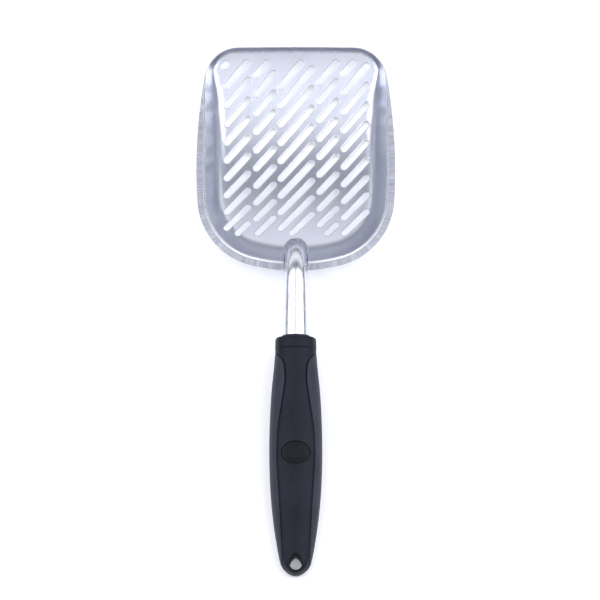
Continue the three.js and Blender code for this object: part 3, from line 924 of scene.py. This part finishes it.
def pin_steel():
    n = Nodes("steel_pin")
    place = object_place(n)
    rings = n.noise(n.stretched(place, (9, 1, 1)), 400, 3, 0.6)
    color = n.blend(rings, (0.46, 0.46, 0.48, 1), (0.62, 0.62, 0.64, 1))
    rough = n.spread(rings, 0.3, 0.7, 0.3, 0.42)
    return n.finish(Base_Color=color, Roughness=rough, Normal=n.bump(rings, 0.1, 0.00004), Metallic=1.0)


def floor_paint():
    n = Nodes("studio_floor")
    cloud = n.noise(object_place(n), 3, 2, 0.5)
    color = n.blend(cloud, (0.93, 0.935, 0.95, 1), (0.95, 0.953, 0.965, 1))
    n.shader.inputs["Emission Color"].default_value = (0.95, 0.96, 1, 1)
    n.shader.inputs["Emission Strength"].default_value = 0.3
    n.material.cycles.emission_sampling = "NONE"
    return n.finish(Base_Color=color, Roughness=0.9)


# ---------------------------------------------------------------- studio
def build_floor():
    half = FLOOR_HALF
    corners = [(-half, -half), (half, -half), (half, half), (-half, half)]
    mesh = bpy.data.meshes.new("floor")
    mesh.from_pydata([(x, y, -FLOOR_DROP) for x, y in corners], [], [(0, 1, 2, 3)])
    mesh.materials.append(floor_paint())
    floor = bpy.data.objects.new("floor", mesh)
    bpy.context.scene.collection.objects.link(floor)


def build_sky():
    n = Nodes("studio", bpy.data.worlds)
    bpy.context.scene.world = n.material
    direction = n.add("ShaderNodeTexCoord").outputs["Generated"]
    x, y, z = n.add("ShaderNodeSeparateXYZ", {0: direction}).outputs
    swing = n.math("ARCTAN2", z, y)
    light = SKY
    for middle, half, centre, spread, color in PANELS:
        light = n.blend(panel(n, x, middle, half, swing, centre, spread), light, color)
    n.finish(Color=light)


def panel(n, x, middle, half, swing, centre, spread):
    """1 on a soft-edged panel of the studio's sky and 0 off it. The swing, in degrees, runs from the far
    horizon over the top to the near one; x is the sky's place across."""
    across = n.math("ABSOLUTE", n.math("SUBTRACT", x, middle))
    along = n.math("ABSOLUTE", n.math("SUBTRACT", swing, math.radians(centre)))
    spread = math.radians(spread)
    inside = n.spread(across, half + 0.04, half - 0.04, 0, 1)
    return n.math("MULTIPLY", inside, n.spread(along, spread + 0.06, spread - 0.06, 0, 1))


def build_camera():
    """Looks straight down on the design pose, so at the laid scoop a little from the handle's side."""
    distance, seen, sensor = 10000, 385.3, 36
    target = Vector((2.7, 6.2, 50))
    camera = bpy.data.objects.new("camera", bpy.data.cameras.new("camera"))
    camera.data.sensor_width = sensor
    camera.data.lens = sensor * distance / seen
    camera.data.clip_end = 40
    camera.location = laid(target + Vector((0, 0, distance)))
    look = laid(target) - camera.location
    camera.rotation_euler = look.to_track_quat("-Z", "Y").to_euler()
    bpy.context.scene.collection.objects.link(camera)
    bpy.context.scene.camera = camera


# ---------------------------------------------------------------- assembly
def paint(piece, material):
    piece.data.materials.clear()
    piece.data.materials.append(material)


def dress(piece, material, node):
    """Paints a piece and puts it in place of its CAD node."""
    paint(piece, material)
    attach(piece, "root")
    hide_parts(node)


bpy.context.scene.view_settings.view_transform = "Standard"
build_floor()
build_sky()
build_camera()

hard = plastic("hard_plastic", (0.007, 0.009, 0.016, 1), (0.014, 0.017, 0.028, 1), 0.42, 5200, 0.00003)
soft = plastic("soft_grip", (0.029, 0.033, 0.049, 1), (0.044, 0.049, 0.068, 1), 0.5, 3600, 0.00005)
thumb = plastic("thumb_plastic", (0.004, 0.005, 0.009, 1), (0.008, 0.010, 0.016, 1), 0.36, 5200, 0.00003)
rod = neck_metal()

dress(build_pan(), pan_metal(), "scoop_pan")
dress(build_bead(), rod, "weld_bead")
dress(build_neck("neck", -NECK_TRIM), rod, "neck_rod")
dress(build_mouth_ring(), soft, "collar_ring")
dress(build_core(), hard, "handle_core")
dress(build_grip("left_grip", -1), soft, "grip_left")
dress(build_grip("right_grip", 1), soft, "grip_right")
dress(build_thumb_pad(), thumb, "thumb_pad")
steel = pin_steel()
for name in ("tang_pin_upper", "tang_pin_lower"):
    paint(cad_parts[name], steel)

bpy.context.view_layer.update()
